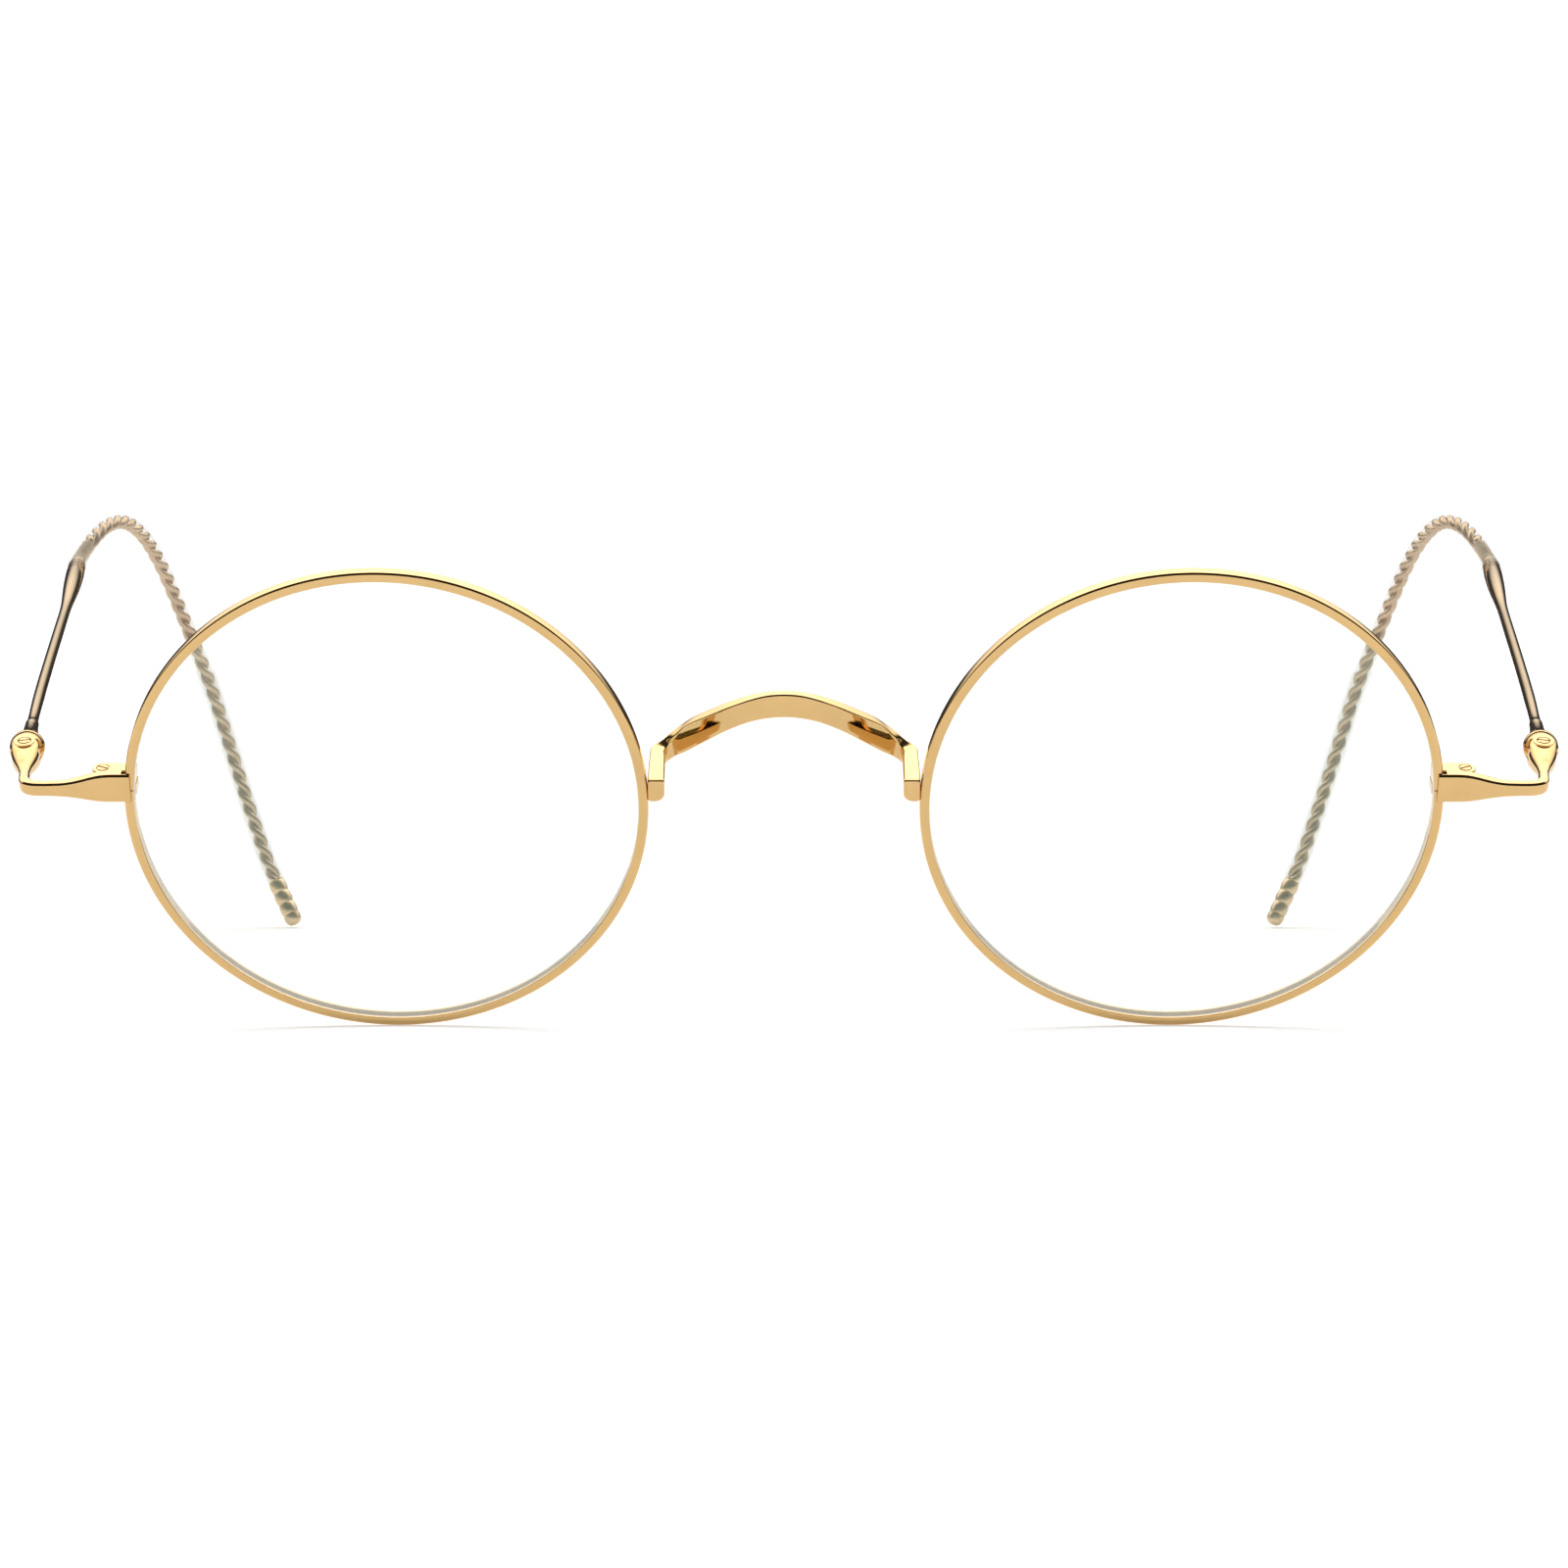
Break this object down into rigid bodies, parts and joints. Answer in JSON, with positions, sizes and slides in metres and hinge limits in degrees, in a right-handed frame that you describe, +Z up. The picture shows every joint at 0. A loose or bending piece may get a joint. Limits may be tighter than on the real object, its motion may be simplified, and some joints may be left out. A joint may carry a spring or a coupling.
{
  "type": "eyeglasses frame",
  "caption": "Round polished-metal wire spectacles with a saddle bridge, clear lenses and hinged temples that end in sleeved ear cables.",
  "frame": {"origin": "on the surface the frame stands on, under the middle of its bounding box", "axes": "+X towards the wearer's left, +Y from the lenses back to the ears, +Z up. The frame stands on both rims and both temple tips with the front leaning forward by 27.05 degrees."},
  "size_m": [0.1508, 0.1248, 0.0465],
  "materials": {
    "gold": "polished gold plating over nickel alloy",
    "cable": "twisted wire rope",
    "cap": "satin gold",
    "lens": "clear polished",
    "sleeve": "clear flexible tube"
  },
  "bodies": {
    "front": {"bridge": "gold", "left_rim": "gold", "left_lens": "lens", "left_endpiece": "gold", "left_rim_lock_upper": "gold", "left_rim_lock_lower": "gold", "left_rim_lock_screw": "gold", "left_hinge_screw": "gold", "right_rim": "gold", "right_lens": "lens", "right_endpiece": "gold", "right_rim_lock_upper": "gold", "right_rim_lock_lower": "gold", "right_rim_lock_screw": "gold", "right_hinge_screw": "gold"},
    "left_temple": {"left_temple_arm": "gold", "left_cable": "cable", "left_cable_binding": "cable", "left_cable_sleeve": "sleeve", "left_tip_cap": "cap"},
    "right_temple": {"right_temple_arm": "gold", "right_cable": "cable", "right_cable_binding": "cable", "right_cable_sleeve": "sleeve", "right_tip_cap": "cap"}
  },
  "joints": [
    {"name": "left_temple_fold", "type": "hinge", "parent": "front", "child": "left_temple", "pos_m": [0.0657, -0.04753, 0.02426], "axis": [0, -0.4548, 0.8906], "range_deg": [0, 85]},
    {"name": "right_temple_fold", "type": "hinge", "parent": "front", "child": "right_temple", "pos_m": [-0.0657, -0.04753, 0.02426], "axis": [0, 0.4548, -0.8906], "range_deg": [0, 75]}
  ]
}
